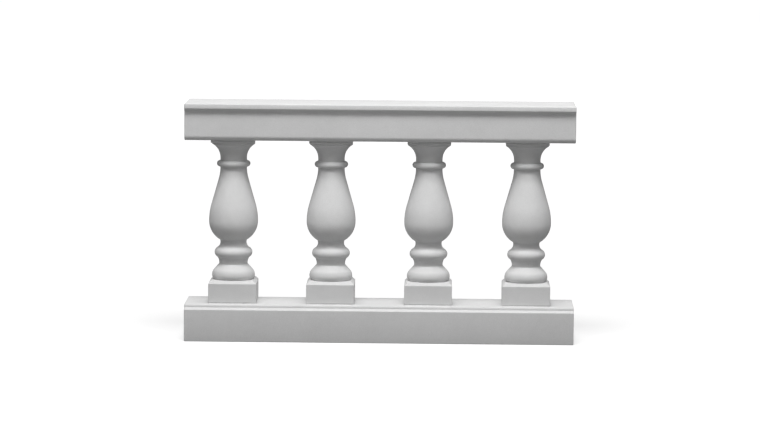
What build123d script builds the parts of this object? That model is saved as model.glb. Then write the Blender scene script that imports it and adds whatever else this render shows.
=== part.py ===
from build123d import *
import os

# Stone balustrade, one bay: two moulded rails with four vase balusters between them.
# Millimetres, +Z up. X runs along the bay and the two long faces look to -Y and +Y.
# The origin is the centre of the bottom rail's underside.

# The bay
baluster_count = 4
baluster_spacing = 250
rail_joint = 8
bed_thickness = 3
bed_recess = 0.5

# Bottom rail, from its underside
bottom_rail_depth = 170
bottom_arris = 2
bottom_fascia_height = 81.5
ledge_rise = 5.5
ledge_run = 8
riser_height = 3
seat_arris = 5

# Top rail, from its underside
top_rail_depth = 170
lower_round = 13
top_fascia_height = 58
cove_radius = 10
cove_sweep = 72
nosing_height = 13
nosing_lower_arris = 3
nosing_upper_arris = 1.5

# Baluster, from its underside: plinth, bell, ring, vase, bead, cap and abacus
plinth_side = 122
plinth_height = 47
weathering_rise = 7
weathering_run = 7
bell_radius = 55
bell_height = 39.5
bell_roll = 11
bell_undercut = 5
bell_round = 22
bell_slope = 43
waist_radius = 36.5
waist_height = 2.5
scotia_height = 14.5
ring_radius = 48.5
ring_edge_radius = 41
ring_height = 25
neck_foot_height = 13.5
lower_neck_radius = 33.5
neck_flare = 1
lower_neck_height = 19.5
belly_radius = 62.8
belly_rise = 49
vase_height = 139
shoulder_reach = 49
hollow_reach = 41
upper_neck_radius = 34
bead_radius = 43
bead_height = 16
cap_neck_height = 7
cap_radius = 55
cap_height = 35.5
cap_edge_height = 6.5
abacus_side = 111
abacus_height = 4

# What follows from the sizes above
rail_length = baluster_count * baluster_spacing - rail_joint
bottom_rail_height = bottom_fascia_height + ledge_rise + riser_height + seat_arris
top_rail_height = lower_round + top_fascia_height + cove_radius + nosing_height
foot_level = plinth_height + weathering_rise
waist_level = foot_level + bell_height
scotia_level = waist_level + waist_height
ring_level = scotia_level + scotia_height
ring_top_level = ring_level + ring_height
neck_level = ring_top_level + neck_foot_height
vase_level = ring_top_level + lower_neck_height
belly_level = vase_level + belly_rise
bead_level = belly_level + vase_height
cap_level = bead_level + bead_height
hollow_level = cap_level + cap_neck_height
cap_edge_level = hollow_level + cap_height
abacus_level = cap_edge_level + cap_edge_height
baluster_height = abacus_level + abacus_height
foot_bed_level = bottom_rail_height
baluster_level = foot_bed_level + bed_thickness
head_bed_level = baluster_level + baluster_height
top_rail_level = head_bed_level + bed_thickness


def outer_round(across, level, radius):
    """A rounded lower edge of a rail, from its underside up to its face."""
    return RadiusArc((across - radius, level), (across, level + radius), -radius)


def upper_round(across, level, radius):
    """A rounded upper edge of a rail, from its face in to its top."""
    return RadiusArc((across, level - radius), (across - radius, level), -radius)


def run_moulding(half_outline):
    """A rail: the half outline, from its foot to its top at the centre line, mirrored and run along X."""
    half_face = make_face([edge for piece in half_outline for edge in piece.edges()])
    section = half_face + mirror(half_face, about=Plane.YZ)
    return extrude(Plane.YZ.offset(-rail_length / 2) * section, amount=rail_length)


def bottom_rail():
    """Plain fascia, a weathered ledge, a small riser and a rounded arris up to the flat seat."""
    face = bottom_rail_depth / 2
    riser = face - ledge_run
    ledge_level = bottom_fascia_height + ledge_rise
    underside = Polyline((0, bottom_rail_height), (0, 0), (face - bottom_arris, 0))
    sides = Polyline(
        (face, bottom_arris),
        (face, bottom_fascia_height),
        (riser, ledge_level),
        (riser, ledge_level + riser_height),
    )
    seat = Line((riser - seat_arris, bottom_rail_height), (0, bottom_rail_height))
    return run_moulding(
        [
            underside,
            outer_round(face, 0, bottom_arris),
            sides,
            upper_round(riser, bottom_rail_height, seat_arris),
            seat,
        ]
    )


def top_rail():
    """Rounded lower edge, fascia, cove and overhanging nosing, from the underside up."""
    nosing = top_rail_depth / 2
    face = nosing - cove_radius
    cove_level = lower_round + top_fascia_height
    underside = Polyline((0, top_rail_height), (0, 0), (face - lower_round, 0))
    fascia = Line((face, lower_round), (face, cove_level))
    cove = CenterArc((nosing, cove_level), cove_radius, 180, -cove_sweep)
    lip = cove @ 1
    nosing_level = lip.Y + nosing_lower_arris
    arris = RadiusArc(lip, (nosing, nosing_level), -nosing_lower_arris)
    nosing_face = Line((nosing, nosing_level), (nosing, top_rail_height - nosing_upper_arris))
    crown = Line((nosing - nosing_upper_arris, top_rail_height), (0, top_rail_height))
    rail = run_moulding(
        [
            underside,
            outer_round(face, 0, lower_round),
            fascia,
            cove,
            arris,
            nosing_face,
            upper_round(nosing, top_rail_height, nosing_upper_arris),
            crown,
        ]
    )
    return Pos(0, 0, top_rail_level) * rail


def square_block(side, height, level):
    """A square block standing on a level, its axis on Z."""
    return Pos(0, 0, level) * extrude(Rectangle(side, side), amount=height)


def plinth():
    """The square foot, its top edges weathered down from the foot of the bell."""
    block = square_block(plinth_side, plinth_height, 0)
    rim = Pos(0, 0, plinth_height) * Rectangle(plinth_side, plinth_side)
    seat_side = plinth_side - 2 * weathering_run
    seat = Pos(0, 0, foot_level) * Rectangle(seat_side, seat_side)
    return block + loft([rim.face(), seat.face()])


def bell_outline():
    """From the seat on the plinth, under the roll, over the shoulder and up the slope to the waist."""
    widest_level = foot_level + bell_roll
    seat = (bell_radius - bell_undercut, foot_level)
    roll = TangentArc((bell_radius, widest_level), seat, tangent=(0, -1))
    shoulder = CenterArc((bell_radius - bell_round, widest_level), bell_round, 0, bell_slope)
    slope = Line(shoulder @ 1, (waist_radius, waist_level))
    return [roll, shoulder, slope]


def ring_outline():
    """The waist, the scotia under the ring and the ring itself."""
    waist = Line((waist_radius, waist_level), (waist_radius, scotia_level))
    scotia = TangentArc((waist_radius, scotia_level), (ring_edge_radius, ring_level), tangent=(0, 1))
    ring = ThreePointArc(
        (ring_edge_radius, ring_level),
        (ring_radius, ring_level + ring_height / 2),
        (ring_edge_radius, ring_top_level),
    )
    return [waist, scotia, ring]


def vase_outline():
    """The neck on its spread foot, the full belly low down and the long taper to the upper neck."""
    neck = (lower_neck_radius, neck_level)
    neck_top = (lower_neck_radius + neck_flare, vase_level)
    foot = TangentArc(neck, (ring_edge_radius, ring_top_level), tangent=(0, -1))
    flare = TangentArc(neck, neck_top, tangent=(0, 1))
    belly = (belly_radius, belly_level)
    under = TangentArc(belly, neck_top, tangent=(0, -1))
    taper = Bezier(
        belly,
        (belly_radius, belly_level + shoulder_reach),
        (upper_neck_radius, bead_level - hollow_reach),
        (upper_neck_radius, bead_level),
    )
    return [foot, flare, under, taper]


def cap_outline():
    """The bead, the short neck over it, the hollow of the cap and its upright edge."""
    bead_edge = bead_radius - bead_height / 2
    underside = Line((upper_neck_radius, bead_level), (bead_edge, bead_level))
    bead = ThreePointArc(
        (bead_edge, bead_level),
        (bead_radius, bead_level + bead_height / 2),
        (bead_edge, cap_level),
    )
    topside = Line((bead_edge, cap_level), (upper_neck_radius, cap_level))
    neck = Line((upper_neck_radius, cap_level), (upper_neck_radius, hollow_level))
    hollow = TangentArc((upper_neck_radius, hollow_level), (cap_radius, cap_edge_level), tangent=(0, 1))
    edge = Line((cap_radius, cap_edge_level), (cap_radius, abacus_level))
    return [underside, bead, topside, neck, hollow, edge]


def turned_shaft():
    """Everything round, from the foot of the bell to the abacus, as one revolved outline."""
    core = Polyline(
        (cap_radius, abacus_level),
        (0, abacus_level),
        (0, foot_level),
        (bell_radius - bell_undercut, foot_level),
    )
    outline = bell_outline() + ring_outline() + vase_outline() + cap_outline() + [core]
    half_section = make_face([edge for piece in outline for edge in piece.edges()])
    return revolve(Plane.XZ * half_section, Axis.Z)


def baluster():
    """One casting: square plinth, turned shaft and square abacus."""
    abacus = square_block(abacus_side, abacus_height, abacus_level)
    return plinth() + turned_shaft() + abacus


def bed(side, level):
    """A thin bed of mortar, kept back from the edges of the stone that it carries."""
    return square_block(side - 2 * bed_recess, bed_thickness, level)


def baluster_places():
    """The centre of each baluster along the rails."""
    first = -(baluster_count - 1) * baluster_spacing / 2
    return [first + number * baluster_spacing for number in range(baluster_count)]


def write(name, shape):
    """Write one piece as its own STEP file."""
    shape.label = name
    export_step(shape, f"parts/{name}.step")


os.makedirs("parts", exist_ok=True)
write("bottom_rail", bottom_rail())
write("top_rail", top_rail())
shaft = baluster()
foot_bed = bed(plinth_side, foot_bed_level)
head_bed = bed(abacus_side, head_bed_level)
for number, place in enumerate(baluster_places(), start=1):
    write(f"foot_bed_{number}", Pos(place, 0, 0) * foot_bed)
    write(f"baluster_{number}", Pos(place, 0, baluster_level) * shaft)
    write(f"head_bed_{number}", Pos(place, 0, 0) * head_bed)
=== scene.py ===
# %% [markdown]
# # A bay of cast stone balustrade
# The real thing is fourteen pieces: two long moulded rails, four vase balusters cast in one piece
# each, and a thin bed of mortar under and over every baluster. This lesson models each piece again
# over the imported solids, softens its arrises, gives it a cast stone finish and lights it.

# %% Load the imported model
from math import atan2, cos, pi, radians, sin, tan

import bmesh
import bpy
from mathutils import Matrix, Vector, noise


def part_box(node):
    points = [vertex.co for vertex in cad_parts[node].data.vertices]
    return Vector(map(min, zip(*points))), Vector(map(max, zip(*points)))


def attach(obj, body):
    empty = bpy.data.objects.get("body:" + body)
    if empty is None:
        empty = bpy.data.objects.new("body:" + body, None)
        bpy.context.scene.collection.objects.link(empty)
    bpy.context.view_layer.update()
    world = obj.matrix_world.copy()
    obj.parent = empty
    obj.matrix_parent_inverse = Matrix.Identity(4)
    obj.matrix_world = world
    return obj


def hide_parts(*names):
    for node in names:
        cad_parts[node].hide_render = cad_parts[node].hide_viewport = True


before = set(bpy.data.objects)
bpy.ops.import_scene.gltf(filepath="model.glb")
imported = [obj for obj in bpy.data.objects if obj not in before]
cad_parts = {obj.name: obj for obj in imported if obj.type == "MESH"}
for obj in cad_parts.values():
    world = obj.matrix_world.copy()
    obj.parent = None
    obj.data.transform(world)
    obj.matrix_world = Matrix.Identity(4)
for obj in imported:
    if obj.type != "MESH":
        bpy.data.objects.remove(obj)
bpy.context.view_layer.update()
MM = 0.001
scene = bpy.context.scene
print("nodes:", sorted(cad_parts))

# %% [markdown]
# ## Sizes
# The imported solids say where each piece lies, so its level and length are read from their boxes.
# The mouldings are drawn from the sizes of their members, in millimetres, the way a mason's
# full-size section gives them.

# %% Places and levels from the frame
BALUSTERS = sorted(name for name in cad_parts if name.startswith("baluster"))
bottom_low, bottom_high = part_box("bottom_rail")
top_low, top_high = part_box("top_rail")
shaft_low, shaft_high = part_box(BALUSTERS[0])
print("bottom rail", bottom_low, bottom_high)
print("top rail", top_low, top_high)

# %% Members of the rails
bottom_arris = 2 * MM
ledge_rise = 5.5 * MM
ledge_run = 8 * MM
riser_height = 3 * MM
seat_arris = 5 * MM
lower_round = 13 * MM
cove_radius = 10 * MM
cove_sweep = radians(72)
nosing_height = 13 * MM
nosing_lower_arris = 3 * MM
nosing_upper_arris = 1.5 * MM
end_arris = 1.5 * MM
print("overhang of the nosing, mm:", round(cove_radius / MM, 1))

# %% Members of a baluster
plinth_side = 122 * MM
plinth_height = 47 * MM
weathering_rise = 7 * MM
weathering_run = 7 * MM
bell_radius = 55 * MM
bell_height = 39.5 * MM
bell_roll = 11 * MM
bell_undercut = 5 * MM
bell_round = 22 * MM
bell_slope = radians(43)
waist_radius = 36.5 * MM
waist_height = 2.5 * MM
scotia_height = 14.5 * MM
ring_radius = 48.5 * MM
ring_edge_radius = 41 * MM
ring_height = 25 * MM
neck_foot_height = 13.5 * MM
lower_neck_radius = 33.5 * MM
neck_flare = 1 * MM
lower_neck_height = 19.5 * MM
belly_radius = 62.8 * MM
belly_rise = 49 * MM
vase_height = 139 * MM
shoulder_sweep = 159 * MM
taper_angle = radians(16)
upper_neck_radius = 34 * MM
bead_radius = 43 * MM
bead_height = 16 * MM
cap_neck_height = 7 * MM
cap_radius = 55 * MM
cap_height = 35.5 * MM
cap_edge_height = 6.5 * MM
abacus_side = 111 * MM
stone_arris = 1 * MM
foot_arris = 0.3 * MM
widths = [round(2 * radius / MM) for radius in (belly_radius, lower_neck_radius, upper_neck_radius)]
print("belly, lower and upper neck across, mm:", widths)

# %% Levels of a baluster
foot_level = plinth_height + weathering_rise
waist_level = foot_level + bell_height
scotia_level = waist_level + waist_height
ring_level = scotia_level + scotia_height
ring_top_level = ring_level + ring_height
vase_level = ring_top_level + lower_neck_height
belly_level = vase_level + belly_rise
bead_level = belly_level + vase_height
cap_level = bead_level + bead_height
hollow_level = cap_level + cap_neck_height
cap_edge_level = hollow_level + cap_height
abacus_level = cap_edge_level + cap_edge_height
baluster_height = shaft_high.z - shaft_low.z
print("abacus thickness, mm:", round((baluster_height - abacus_level) / MM, 2))

# %% [markdown]
# ## A pen for outlines
# Every moulding here is a run or a turning of one outline. The outline could be typed as a list of
# points, but arcs typed as points are hard to change. So a few small helpers draw it instead: one
# extrudes the last vertex in a straight line, and the others spin it round a centre into an arc.
# An arc is drawn in steps. Too few show as facets and too many only make the mesh heavy, so a
# small arris gets three to five and a long or deep curve more.

# %% A pen for straight lines and arcs
def start_outline(bm, across, level):
    """The first vertex of an outline in the YZ plane."""
    return bm.verts.new((0, across, level))


def straight(bm, last, across, level):
    """A straight stretch from the last vertex."""
    tip = bmesh.ops.extrude_vert_indiv(bm, verts=[last])["verts"][0]
    tip.co = Vector((0, across, level))
    return tip


def arc(bm, last, centre, turn, steps):
    """An arc round a centre, by a turn that is positive from Y towards Z."""
    made = bmesh.ops.spin(
        bm, geom=[last], cent=(0, *centre), axis=(1, 0, 0), angle=turn, steps=steps, use_merge=False
    )
    return next(item for item in made["geom_last"] if isinstance(item, bmesh.types.BMVert))


# %% [markdown]
# Most members run into each other without a kink, so one end of their arc stands upright. From
# the two ends and that upright tangent the helpers below work out the centre and the turn.

# %% Arcs that start or end upright
def arc_from_upright(bm, last, across, level, steps):
    """An arc to a point, which leaves the last vertex straight up."""
    out = across - last.co.y
    rise = level - last.co.z
    sweep = (out**2 + rise**2) / (2 * out)
    turn = -2 * atan2(out, rise)
    return arc(bm, last, (last.co.y + sweep, last.co.z), turn, steps)


def arc_to_upright(bm, last, across, level, steps):
    """An arc to a point, which arrives there straight up."""
    out = across - last.co.y
    rise = level - last.co.z
    sweep = (out**2 + rise**2) / (2 * out)
    turn = 2 * atan2(out, rise)
    return arc(bm, last, (across - sweep, level), turn, steps)


def arc_over(bm, last, bulge, level, steps):
    """An arc to the same reach at a level above, which swells out by the bulge half way up."""
    half = (level - last.co.z) / 2
    sweep = (half**2 + bulge**2) / (2 * bulge)
    turn = 4 * atan2(bulge, half)
    return arc(bm, last, (last.co.y + bulge - sweep, last.co.z + half), turn, steps)


# %% [markdown]
# ## From bmesh to piece
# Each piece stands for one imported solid. Its doubles are merged and its normals turned outwards,
# it is shaded smooth with its arrises kept sharp, and it rides on the one body of the part.

# %% Finish a piece
SHARP_ANGLE = radians(38)
DOUBLES = 0.01 * MM


def finish_piece(bm, name, node):
    """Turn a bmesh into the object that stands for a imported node."""
    mesh = bpy.data.meshes.new(name)
    bmesh.ops.remove_doubles(bm, verts=bm.verts, dist=DOUBLES)
    bmesh.ops.recalc_face_normals(bm, faces=bm.faces)
    bm.to_mesh(mesh)
    bm.free()
    mesh.polygons.foreach_set("use_smooth", [True] * len(mesh.polygons))
    mesh.set_sharp_from_angle(angle=SHARP_ANGLE)
    piece = bpy.data.objects.new(name, mesh)
    scene.collection.objects.link(piece)
    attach(piece, "root")
    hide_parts(node)
    print(name, "faces", len(mesh.polygons), "mm", [round(side / MM, 1) for side in piece.dimensions])
    return piece


# %% [markdown]
# ## The rails
# A cast rail is the same section from end to end, so one outline is drawn, mirrored, filled and
# pushed along X. Its ends are flat joint faces with a small arris, which an inset makes: the end
# face shrinks by the arris and moves out by it.

# %% Run a section along the bay
END_FACING = 0.9


def run_section(bm, low, high):
    """Mirror the half outline in Y, fill it and run it from low to high along X."""
    half = list(bm.verts) + list(bm.edges)
    bmesh.ops.mirror(bm, geom=half, matrix=Matrix.Identity(4), merge_dist=DOUBLES, axis="Y")
    bmesh.ops.remove_doubles(bm, verts=bm.verts, dist=DOUBLES)
    section = bmesh.ops.contextual_create(bm, geom=bm.edges)["faces"]
    bmesh.ops.translate(bm, verts=bm.verts, vec=(low + end_arris, 0, 0))
    pushed = bmesh.ops.extrude_face_region(bm, geom=section)["geom"]
    far = [item for item in pushed if isinstance(item, bmesh.types.BMVert)]
    bmesh.ops.translate(bm, verts=far, vec=(high - low - 2 * end_arris, 0, 0))
    bmesh.ops.recalc_face_normals(bm, faces=bm.faces)
    for end in [face for face in bm.faces if abs(face.normal.x) > END_FACING]:
        bmesh.ops.inset_region(bm, faces=[end], thickness=end_arris, depth=end_arris)


# %% [markdown]
# The bottom rail is plain. Above its fascia a weathered ledge throws the rain off, and a small
# riser with a rounded arris leads to the flat seat that the plinths stand on.

# %% Bottom rail
ARRIS_STEPS = 3
SEAT_STEPS = 4


def bottom_rail():
    """Plain fascia, weathered ledge, small riser and a rounded arris up to the seat."""
    bm = bmesh.new()
    face = bottom_high.y
    base = bottom_low.z
    seat = bottom_high.z
    riser = face - ledge_run
    ledge = seat - seat_arris - riser_height
    last = start_outline(bm, 0, base)
    last = straight(bm, last, face - bottom_arris, base)
    last = arc(bm, last, (face - bottom_arris, base + bottom_arris), pi / 2, ARRIS_STEPS)
    last = straight(bm, last, face, ledge - ledge_rise)
    last = straight(bm, last, riser, ledge)
    last = straight(bm, last, riser, seat - seat_arris)
    last = arc(bm, last, (riser - seat_arris, seat - seat_arris), pi / 2, SEAT_STEPS)
    straight(bm, last, 0, seat)
    run_section(bm, bottom_low.x, bottom_high.x)
    return finish_piece(bm, "bottom_rail_stone", "bottom_rail")


# %% [markdown]
# The top rail is the handrail. Its lower edge is rounded, a cove leads from the fascia out under
# the nosing, and the nosing's two arrises are softened so that its edge doesn't chip.

# %% Top rail
ROUND_STEPS = 8
COVE_STEPS = 12
LIP_STEPS = 5


def top_rail():
    """Rounded lower edge, fascia, cove and overhanging nosing."""
    bm = bmesh.new()
    nosing = top_high.y
    face = nosing - cove_radius
    soffit = top_low.z
    crown = top_high.z
    last = start_outline(bm, 0, soffit)
    last = straight(bm, last, face - lower_round, soffit)
    last = arc(bm, last, (face - lower_round, soffit + lower_round), pi / 2, ROUND_STEPS)
    last = straight(bm, last, face, crown - nosing_height - cove_radius)
    last = arc(bm, last, (nosing, last.co.z), -cove_sweep, COVE_STEPS)
    lip = nosing - nosing_lower_arris
    last = straight(bm, last, lip, last.co.z)
    last = arc(bm, last, (lip, last.co.z + nosing_lower_arris), pi / 2, LIP_STEPS)
    last = straight(bm, last, nosing, crown - nosing_upper_arris)
    last = arc(bm, last, (nosing - nosing_upper_arris, crown - nosing_upper_arris), pi / 2, ARRIS_STEPS)
    straight(bm, last, 0, crown)
    run_section(bm, top_low.x, top_high.x)
    return finish_piece(bm, "top_rail_stone", "top_rail")


stones = [bottom_rail(), top_rail()]

# %% [markdown]
# ## The outline of a baluster
# A real baluster is cast in a two-part mould round a turned pattern. The outline of the pattern is
# drawn from the foot up, member by member: bell, waist, ring, lower neck, belly, taper, bead, upper
# neck and the hollow cap under the abacus.

# %% Foot of the shaft
SCOTIA_STEPS = 7
RING_STEPS = 16


def bell_and_ring(bm):
    """The roll and slope of the bell, the waist, the scotia and the ring."""
    last = start_outline(bm, bell_radius - bell_undercut, foot_level)
    last = arc_to_upright(bm, last, bell_radius, foot_level + bell_roll, ROUND_STEPS)
    last = arc(bm, last, (bell_radius - bell_round, last.co.z), bell_slope, ROUND_STEPS)
    last = straight(bm, last, waist_radius, waist_level)
    last = straight(bm, last, waist_radius, scotia_level)
    last = arc_from_upright(bm, last, ring_edge_radius, ring_level, SCOTIA_STEPS)
    return arc_over(bm, last, ring_radius - ring_edge_radius, ring_top_level, RING_STEPS)


# %% [markdown]
# The vase is what makes the baluster. Its belly is one arc from the neck up to the widest point.
# Above it a flatter arc turns into a straight taper, and a last arc brings the taper upright at the
# upper neck, so that no kink shows in the long highlight.

# %% The vase
FLARE_STEPS = 4
BELLY_STEPS = 16
SHOULDER_STEPS = 12
TAPER_STEPS = 10


def vase(bm, last):
    """The spread foot of the neck, the belly and the long taper to the upper neck."""
    last = arc_to_upright(bm, last, lower_neck_radius, ring_top_level + neck_foot_height, ROUND_STEPS)
    last = arc_from_upright(bm, last, lower_neck_radius + neck_flare, vase_level, FLARE_STEPS)
    last = arc_to_upright(bm, last, belly_radius, belly_level, BELLY_STEPS)
    last = arc(bm, last, (belly_radius - shoulder_sweep, belly_level), taper_angle, SHOULDER_STEPS)
    rise = bead_level - last.co.z
    lean = (last.co.y - upper_neck_radius) / tan(taper_angle)
    hollow_sweep = (rise - lean) / tan(taper_angle / 2)
    print("taper runs into a hollow of radius, mm:", round(hollow_sweep / MM))
    tangent_radius = upper_neck_radius + hollow_sweep * (1 - cos(taper_angle))
    last = straight(bm, last, tangent_radius, bead_level - hollow_sweep * sin(taper_angle))
    return arc(bm, last, (upper_neck_radius + hollow_sweep, bead_level), -taper_angle, TAPER_STEPS)


# %% [markdown]
# Over the taper a bead runs round the neck. It is a half circle between two flat shelves, which
# throw the thin shadows above and below it. Then the neck spreads in one hollow curve to the
# upright edge of the cap.

# %% Bead and cap
CAP_STEPS = 14


def bead_and_cap(bm, last):
    """The bead, the neck over it and the hollow that spreads to the abacus."""
    half_bead = bead_height / 2
    last = straight(bm, last, bead_radius - half_bead, bead_level)
    last = arc(bm, last, (bead_radius - half_bead, bead_level + half_bead), pi, CAP_STEPS)
    last = straight(bm, last, upper_neck_radius, cap_level)
    last = straight(bm, last, upper_neck_radius, hollow_level)
    last = arc_from_upright(bm, last, cap_radius, cap_edge_level, CAP_STEPS)
    straight(bm, last, cap_radius, abacus_level)


# %% [markdown]
# ## From a turning to a square
# The square plinth and abacus could be boxes set against the turning, but then the casting would
# be three shells. Instead the last ring of the turning is extruded and pushed out to a square, so
# that the casting is one closed skin. The number of steps round the axis is a multiple of eight,
# so that a vertex falls on each corner.

# %% Rings and squares
TURN_STEPS = 128
RAGGED_LENGTH = 4 * MM


def verts_of(made):
    """The vertices in what an operator made."""
    return [item for item in made if isinstance(item, bmesh.types.BMVert)]


def set_square(verts, half_side, level, ragged=0, seed=0):
    """Set ring vertices on a square at a level, kept back here and there by up to ragged."""
    for vert in verts:
        spot = vert.co / RAGGED_LENGTH + Vector((seed, level / MM, 0))
        kept_back = ragged * (0.5 + 0.5 * noise.noise(spot))
        reach = (half_side - kept_back) / max(abs(vert.co.x), abs(vert.co.y))
        vert.co = Vector((vert.co.x * reach, vert.co.y * reach, level))


def square_ring(bm, ring, half_side, level, ragged=0, seed=0):
    """Extrude a ring of edges and set its new vertices on a square of that half side."""
    made = bmesh.ops.extrude_edge_only(bm, edges=ring)["geom"]
    set_square(verts_of(made), half_side, level, ragged, seed)
    return [item for item in made if isinstance(item, bmesh.types.BMEdge)]


def open_ring(bm, level):
    """The open edges of a mesh at a level."""
    return [
        edge for edge in bm.edges
        if edge.is_boundary and all(abs(vert.co.z - level) < DOUBLES for vert in edge.verts)
    ]


# %% [markdown]
# No cast corner is truly sharp. The rings already round the level arrises, so only the four
# upright corners are left, and a bevel of two segments softens those.

# %% Soften the corners of the square blocks
CORNER_SEGMENTS = 2


def soften_corners(bm, low, high):
    """Bevel the four corner edges of a square block between two levels."""
    corners = [
        edge for edge in bm.edges
        if all(abs(abs(vert.co.x) - abs(vert.co.y)) < DOUBLES for vert in edge.verts)
        and all(low - DOUBLES < vert.co.z < high + DOUBLES for vert in edge.verts)
        and abs(edge.verts[0].co.z - edge.verts[1].co.z) > DOUBLES
    ]
    print("corner edges", len(corners))
    bmesh.ops.bevel(
        bm, geom=corners, offset=stone_arris, offset_type="OFFSET", affect="EDGES",
        segments=CORNER_SEGMENTS, profile=0.5, material=-1, clamp_overlap=True,
    )


# %% [markdown]
# The plinth's top slopes away from the bell, so that rain runs off it. The plinth's foot is left
# almost sharp, because no dark line shows where it meets the mortar. The abacus is a thin slab
# that is softened all round.

# %% The plinth and the abacus
def plinth(bm):
    """From the foot of the bell out over the weathering and down to the underside."""
    half = plinth_side / 2
    ring = open_ring(bm, foot_level)
    ring = square_ring(bm, ring, half - weathering_run, foot_level)
    ring = square_ring(bm, ring, half, plinth_height)
    ring = square_ring(bm, ring, half, foot_arris)
    ring = square_ring(bm, ring, half - foot_arris, 0)
    bmesh.ops.contextual_create(bm, geom=ring)
    soften_corners(bm, 0, foot_level)


def abacus(bm):
    """From the edge of the cap out to the square slab and up to its bed."""
    half = abacus_side / 2
    ring = open_ring(bm, abacus_level)
    ring = square_ring(bm, ring, half - stone_arris, abacus_level)
    ring = square_ring(bm, ring, half, abacus_level + stone_arris)
    ring = square_ring(bm, ring, half, baluster_height - stone_arris)
    ring = square_ring(bm, ring, half - stone_arris, baluster_height)
    bmesh.ops.contextual_create(bm, geom=ring)
    soften_corners(bm, abacus_level, baluster_height)


# %% [markdown]
# The four castings come from one mould, so one function makes them all. It draws the outline,
# spins it once round its axis, closes it with plinth and abacus and moves it to its place.

# %% Four balusters
def baluster(node):
    """One casting: weathered plinth, turned shaft and abacus."""
    low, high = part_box(node)
    bm = bmesh.new()
    last = bell_and_ring(bm)
    last = vase(bm, last)
    bead_and_cap(bm, last)
    bmesh.ops.spin(
        bm, geom=list(bm.verts) + list(bm.edges), cent=(0, 0, 0), axis=(0, 0, 1),
        angle=2 * pi, steps=TURN_STEPS, use_merge=True,
    )
    bmesh.ops.remove_doubles(bm, verts=bm.verts, dist=DOUBLES)
    plinth(bm)
    abacus(bm)
    bmesh.ops.translate(bm, verts=bm.verts, vec=((low.x + high.x) / 2, 0, low.z))
    return finish_piece(bm, f"{node}_stone", node)


stones += [baluster(node) for node in BALUSTERS]

# %% [markdown]
# ## The mortar beds
# Each baluster is bedded in a few millimetres of mortar under its plinth and over its abacus. The
# joint is struck while it is soft, so its edge is a little hollow and ragged. A plain slab would
# show a ruled line, so each bed is a stack of square rings that are kept back by a noise.

# %% Mortar beds
BED_STEPS = 160
BED_LAYERS = 4
BED_RAGGED = 0.2 * MM
BED_HOLLOW = 0.1 * MM


def mortar_bed(node, seed):
    """A thin slab of mortar with a ragged, slightly hollow edge."""
    low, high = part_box(node)
    half = (high.x - low.x) / 2
    bm = bmesh.new()
    verts = bmesh.ops.create_circle(bm, cap_ends=False, segments=BED_STEPS, radius=half)["verts"]
    set_square(verts, half, low.z, BED_RAGGED, seed)
    ring = list(bm.edges)
    bmesh.ops.contextual_create(bm, geom=ring)
    for layer in range(1, BED_LAYERS + 1):
        share = layer / BED_LAYERS
        hollow = BED_HOLLOW * sin(pi * share)
        level = low.z + (high.z - low.z) * share
        ring = square_ring(bm, ring, half - hollow, level, BED_RAGGED, seed)
    bmesh.ops.contextual_create(bm, geom=ring)
    bmesh.ops.translate(bm, verts=bm.verts, vec=((low.x + high.x) / 2, 0, 0))
    return finish_piece(bm, f"{node}_mortar", node)


BEDS = sorted(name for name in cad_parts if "bed" in name)
beds = [mortar_bed(node, seed) for seed, node in enumerate(BEDS)]

# %% [markdown]
# ## Finishes
# Cast stone is crushed stone and cement: matt, pale grey and nearly even, with a sandy grain and a
# few pin holes where air was caught against the mould. It could be painted on, but a pattern made
# from noise and laid out in object coordinates keeps one scale on every piece.

# %% Node helpers
NOISE_LOW = 0.3
NOISE_HIGH = 0.7


def new_material(name, roughness, specular):
    """A material whose even values sit on the shader's own sockets."""
    material = bpy.data.materials.new(name)
    material.use_nodes = True
    tree = material.node_tree
    shader = tree.nodes["Principled BSDF"]
    shader.inputs["Roughness"].default_value = roughness
    shader.inputs["Specular IOR Level"].default_value = specular
    return material, tree, shader


def noise_field(tree, scale, detail, low, high):
    """A noise on object coordinates, whose usual range is spread from low to high."""
    place = tree.nodes.new("ShaderNodeTexCoord")
    field = tree.nodes.new("ShaderNodeTexNoise")
    field.inputs["Scale"].default_value = scale
    field.inputs["Detail"].default_value = detail
    tree.links.new(place.outputs["Object"], field.inputs["Vector"])
    spread = tree.nodes.new("ShaderNodeMapRange")
    spread.inputs["From Min"].default_value = NOISE_LOW
    spread.inputs["From Max"].default_value = NOISE_HIGH
    spread.inputs["To Min"].default_value = low
    spread.inputs["To Max"].default_value = high
    tree.links.new(field.outputs["Fac"], spread.inputs["Value"])
    return spread.outputs["Result"]


def combine(tree, operation, one, other):
    """A math node on two sockets, or on a socket and a number."""
    step = tree.nodes.new("ShaderNodeMath")
    step.operation = operation
    for socket, value in zip(step.inputs, (one, other)):
        if isinstance(value, (int, float)):
            socket.default_value = value
        else:
            tree.links.new(value, socket)
    return step.outputs["Value"]


# %% [markdown]
# Pin holes are cells of a Voronoi pattern. Near the centre of a cell the distance is small, which
# makes a round spot, and only the share of cells whose random number is low enough become a hole.
# The inner half of a hole's radius is its floor, and the outer half slopes up to the surface. The same
# mask sinks the holes as a bump and darkens their colour as painted shade.

# %% Pin holes
HOLE_FLOOR = 0.5


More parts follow.
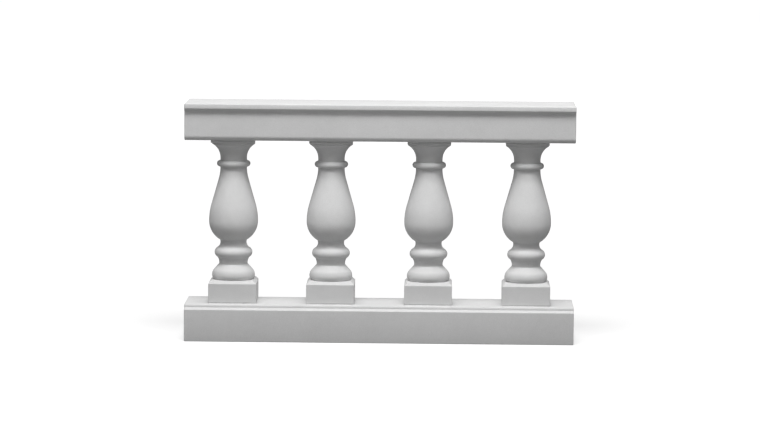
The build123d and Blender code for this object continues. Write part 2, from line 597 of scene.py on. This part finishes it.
def pin_holes(tree, cell_size, hole_radius, share):
    """One inside a pin hole, nought elsewhere, with a hole in a share of the cells."""
    place = tree.nodes.new("ShaderNodeTexCoord")
    cells = tree.nodes.new("ShaderNodeTexVoronoi")
    cells.inputs["Scale"].default_value = 1 / cell_size
    tree.links.new(place.outputs["Object"], cells.inputs["Vector"])
    edge = tree.nodes.new("ShaderNodeMapRange")
    edge.inputs["From Min"].default_value = hole_radius / cell_size
    edge.inputs["From Max"].default_value = HOLE_FLOOR * hole_radius / cell_size
    tree.links.new(cells.outputs["Distance"], edge.inputs["Value"])
    chosen = combine(tree, "LESS_THAN", cells.outputs["Color"], share)
    return combine(tree, "MULTIPLY", edge.outputs["Result"], chosen)


# %% Colour and relief of a mineral surface
def mineral_colour(tree, shader, tone, variation):
    """The tone, varied by a list of fields that are multiplied with it."""
    value = variation[0]
    for field in variation[1:]:
        value = combine(tree, "MULTIPLY", value, field)
    mix = tree.nodes.new("ShaderNodeVectorMath")
    mix.operation = "SCALE"
    mix.inputs[0].default_value = tone
    tree.links.new(value, mix.inputs["Scale"])
    tree.links.new(mix.outputs["Vector"], shader.inputs["Base Color"])


def mineral_relief(tree, shader, height, depth):
    """A bump of a field, whose full range is as deep as depth."""
    bump = tree.nodes.new("ShaderNodeBump")
    bump.inputs["Distance"].default_value = depth
    tree.links.new(height, bump.inputs["Height"])
    tree.links.new(bump.outputs["Normal"], shader.inputs["Normal"])


# %% [markdown]
# A casting clouds a little from place to place as it dries, and its sand gives it a grain of about
# a millimetre. One flat grey would look like plastic close up, so three faint noises vary the tone,
# each by a few hundredths. From farther off they even out to the pale grey of the photo.

# %% Cast stone
STONE_TONE = (0.64, 0.64, 0.64)
# Painted shade: how much the colour darkens inside a pin hole.
PAINTED_HOLE_SHADE = 0.45
SAND_SHARE = 0.3


def cast_stone():
    """Pale grey cast stone: soft clouding, sandy grain and a few pin holes, sunk as bumps and darkened
    with painted shade.
    """
    material, tree, shader = new_material("cast_stone", roughness=0.88, specular=0.3)
    clouds = noise_field(tree, scale=9, detail=3, low=0.975, high=1.025)
    mottle = noise_field(tree, scale=60, detail=4, low=0.985, high=1.015)
    grain = noise_field(tree, scale=900, detail=2, low=0.94, high=1.06)
    holes = pin_holes(tree, cell_size=14 * MM, hole_radius=0.8 * MM, share=0.3)
    # Painted shade: the colour is darkened inside each pin hole, where shade would fall.
    painted_shade_in_holes = combine(tree, "SUBTRACT", 1, combine(tree, "MULTIPLY", holes, PAINTED_HOLE_SHADE))
    mineral_colour(tree, shader, STONE_TONE, [clouds, mottle, grain, painted_shade_in_holes])
    sand = noise_field(tree, scale=1200, detail=2, low=0, high=1)
    height = combine(tree, "SUBTRACT", combine(tree, "MULTIPLY", sand, SAND_SHARE), holes)
    mineral_relief(tree, shader, height, depth=0.5 * MM)
    return material


# %% [markdown]
# Mortar is cement and coarser sand. No darker line shows in the photo at the foot of the plinths,
# so the joints are of nearly the stone's tone, and only their rougher grain sets them apart.

# %% Mortar
MORTAR_TONE = (0.63, 0.63, 0.63)


def mortar():
    """Sandy grey mortar, nearly of the stone's tone and rougher."""
    material, tree, shader = new_material("mortar", roughness=0.95, specular=0.2)
    patches = noise_field(tree, scale=120, detail=3, low=0.93, high=1.05)
    grain = noise_field(tree, scale=700, detail=3, low=0.88, high=1.08)
    mineral_colour(tree, shader, MORTAR_TONE, [patches, grain])
    sand = noise_field(tree, scale=800, detail=3, low=0, high=1)
    mineral_relief(tree, shader, sand, depth=0.5 * MM)
    return material


# %% Give each piece its finish
stone_finish = cast_stone()
mortar_finish = mortar()
for pieces, finish, slot in ((stones, stone_finish, "cast_stone"), (beds, mortar_finish, "mortar")):
    for piece in pieces:
        piece.data.materials.append(finish)
    print(slot, "pieces", len(pieces), "nodes in the finish", len(finish.node_tree.nodes))

# %% [markdown]
# ## Floor and backdrop
# The photo is a cut-out on white. A white floor under real light would throw much light back on
# the undersides, so the floor that the lamps see is dim, and the floor that the camera sees glows
# enough to be white. Near the bay the glow is weaker, so that the soft shadow still shows there.

# %% Glow of the floor
FAR_GLOW = 0.9
GLOW_DIP = 0.4
DIP_REACH = 2.0


def floor_glow(tree):
    """Weak round the bay and full farther out, where the lamps hardly reach."""
    place = tree.nodes.new("ShaderNodeTexCoord")
    distance = tree.nodes.new("ShaderNodeVectorMath")
    distance.operation = "LENGTH"
    tree.links.new(place.outputs["Object"], distance.inputs[0])
    share = combine(tree, "DIVIDE", distance.outputs["Value"], DIP_REACH)
    fading = combine(tree, "ADD", combine(tree, "MULTIPLY", share, share), 1)
    return combine(tree, "SUBTRACT", FAR_GLOW, combine(tree, "DIVIDE", GLOW_DIP, fading))


# %% Two faces of the floor
SEEN_TONE = (0.5, 0.5, 0.5, 1)
LIT_TONE = (0.22, 0.22, 0.22, 1)


def seen_floor(tree):
    """What the camera sees: a glow, and a pale surface that still takes the shadow."""
    glow = tree.nodes.new("ShaderNodeEmission")
    tree.links.new(floor_glow(tree), glow.inputs["Strength"])
    pale = tree.nodes.new("ShaderNodeBsdfDiffuse")
    pale.inputs["Color"].default_value = SEEN_TONE
    both = tree.nodes.new("ShaderNodeAddShader")
    tree.links.new(glow.outputs["Emission"], both.inputs[0])
    tree.links.new(pale.outputs["BSDF"], both.inputs[1])
    return both.outputs["Shader"]


def seen_rays(tree):
    """One for what is seen directly, in a gloss or through glass, nought for other light."""
    path = tree.nodes.new("ShaderNodeLightPath")
    seen = combine(tree, "ADD", path.outputs["Is Camera Ray"], path.outputs["Is Glossy Ray"])
    seen = combine(tree, "ADD", seen, path.outputs["Is Transmission Ray"])
    return combine(tree, "MINIMUM", seen, 1)


def floor_finish():
    """A floor that is white to the eye and dim to the light."""
    material = bpy.data.materials.new("floor")
    material.use_nodes = True
    tree = material.node_tree
    tree.nodes.clear()
    dim = tree.nodes.new("ShaderNodeBsdfDiffuse")
    dim.inputs["Color"].default_value = LIT_TONE
    mix = tree.nodes.new("ShaderNodeMixShader")
    out = tree.nodes.new("ShaderNodeOutputMaterial")
    tree.links.new(seen_rays(tree), mix.inputs["Fac"])
    tree.links.new(dim.outputs["BSDF"], mix.inputs[1])
    tree.links.new(seen_floor(tree), mix.inputs[2])
    tree.links.new(mix.outputs["Shader"], out.inputs["Surface"])
    return material


# %% Floor
FLOOR_RADIUS = 60
FLOOR_STEPS = 64

bm = bmesh.new()
bmesh.ops.create_circle(bm, cap_ends=True, segments=FLOOR_STEPS, radius=FLOOR_RADIUS)
floor_mesh = bpy.data.meshes.new("floor")
bm.to_mesh(floor_mesh)
bm.free()
floor_mesh.materials.append(floor_finish())
floor = bpy.data.objects.new("floor", floor_mesh)
scene.collection.objects.link(floor)
print("floor across, m:", round(floor.dimensions.x))

# %% [markdown]
# ## Light
# The photo is lit like a studio: a long bank of soft boxes in front and high up, which leaves the
# undersides dark, and an even pale surround. The bank is so long that the balusters throw no hard
# shadow to either side. It is built from one broad box far off, a nearer one at either hand and a
# faint low one that lifts the upright faces of the top rail. A low box behind the bay only lights
# its back, which the photo doesn't show.

# %% Surround
AROUND_STRENGTH = 0.24
WHITE = (1, 1, 1, 1)

world = bpy.data.worlds.new("studio")
scene.world = world
world.use_nodes = True
tree = world.node_tree
around = tree.nodes["Background"]
around.inputs["Strength"].default_value = AROUND_STRENGTH
backdrop = tree.nodes.new("ShaderNodeBackground")
backdrop.inputs["Color"].default_value = WHITE
around.inputs["Color"].default_value = WHITE
mix = tree.nodes.new("ShaderNodeMixShader")
tree.links.new(seen_rays(tree), mix.inputs["Fac"])
tree.links.new(around.outputs["Background"], mix.inputs[1])
tree.links.new(backdrop.outputs["Background"], mix.inputs[2])
tree.links.new(mix.outputs["Shader"], tree.nodes["World Output"].inputs["Surface"])
print("surround: strength", AROUND_STRENGTH, "to the light and 1 to the eye")

# %% Lamps
middle = Vector((0, 0, (bottom_low.z + top_high.z) / 2))


def soft_box(name, azimuth, elevation, distance, width, height, power):
    """A soft box that looks at the middle of the bay, in degrees round from its front and up."""
    across = radians(azimuth)
    up = radians(elevation)
    direction = Vector((sin(across) * cos(up), -cos(across) * cos(up), sin(up)))
    data = bpy.data.lights.new(name, "AREA")
    data.shape = "RECTANGLE"
    data.size = width
    data.size_y = height
    data.energy = power
    lamp = bpy.data.objects.new(name, data)
    turn = direction.to_track_quat("Z", "Y").to_matrix().to_4x4()
    lamp.matrix_world = Matrix.Translation(middle + direction * distance) @ turn
    lamp.visible_camera = False
    scene.collection.objects.link(lamp)
    print(name, "W", power, "m away", distance)


soft_box("front_box", azimuth=0, elevation=65.5, distance=8.0, width=3.0, height=2.4, power=400)
soft_box("left_box", azimuth=-45, elevation=53, distance=2.4, width=0.9, height=0.8, power=14.2)
soft_box("right_box", azimuth=45, elevation=53, distance=2.4, width=0.9, height=0.8, power=13.2)
soft_box("low_box", azimuth=0, elevation=20, distance=1.5, width=0.56, height=0.38, power=1.2)
soft_box("back_box", azimuth=180, elevation=2.5, distance=14.0, width=6.0, height=1.2, power=330)

# %% [markdown]
# ## Camera
# The place, turn and focal length come from lining the edges of the rails and the centres of the
# balusters up with the photo. It was taken with a long lens from a little above.

# %% Camera
PHOTO_WIDTH = 760
SENSOR_WIDTH = 36
CAMERA_REACH = 200
focal_pixels = 3396.6
camera_place = Vector((0.165, -8.635, 1.308))
camera_yaw = -0.0191
camera_pitch = 0.1137
camera_roll = 0.0073


def aim(place, yaw, pitch, roll):
    """The matrix of a camera at a place. Yaw turns it right, pitch down, roll clockwise."""
    forward = Vector((sin(yaw) * cos(pitch), cos(yaw) * cos(pitch), -sin(pitch)))
    right = Vector((cos(yaw), -sin(yaw), 0))
    up = right.cross(forward)
    rolled_right = right * cos(roll) + up * sin(roll)
    rolled_up = up * cos(roll) - right * sin(roll)
    turn = Matrix((rolled_right, rolled_up, -forward)).transposed().to_4x4()
    return Matrix.Translation(place) @ turn


camera_data = bpy.data.cameras.new("camera")
camera_data.sensor_width = SENSOR_WIDTH
camera_data.lens = focal_pixels * SENSOR_WIDTH / PHOTO_WIDTH
camera_data.clip_end = CAMERA_REACH
camera = bpy.data.objects.new("camera", camera_data)
camera.matrix_world = aim(camera_place, camera_yaw, camera_pitch, camera_roll)
scene.collection.objects.link(camera)
scene.camera = camera
scene.view_settings.view_transform = "Standard"
print("lens", round(camera_data.lens, 1), "mm")
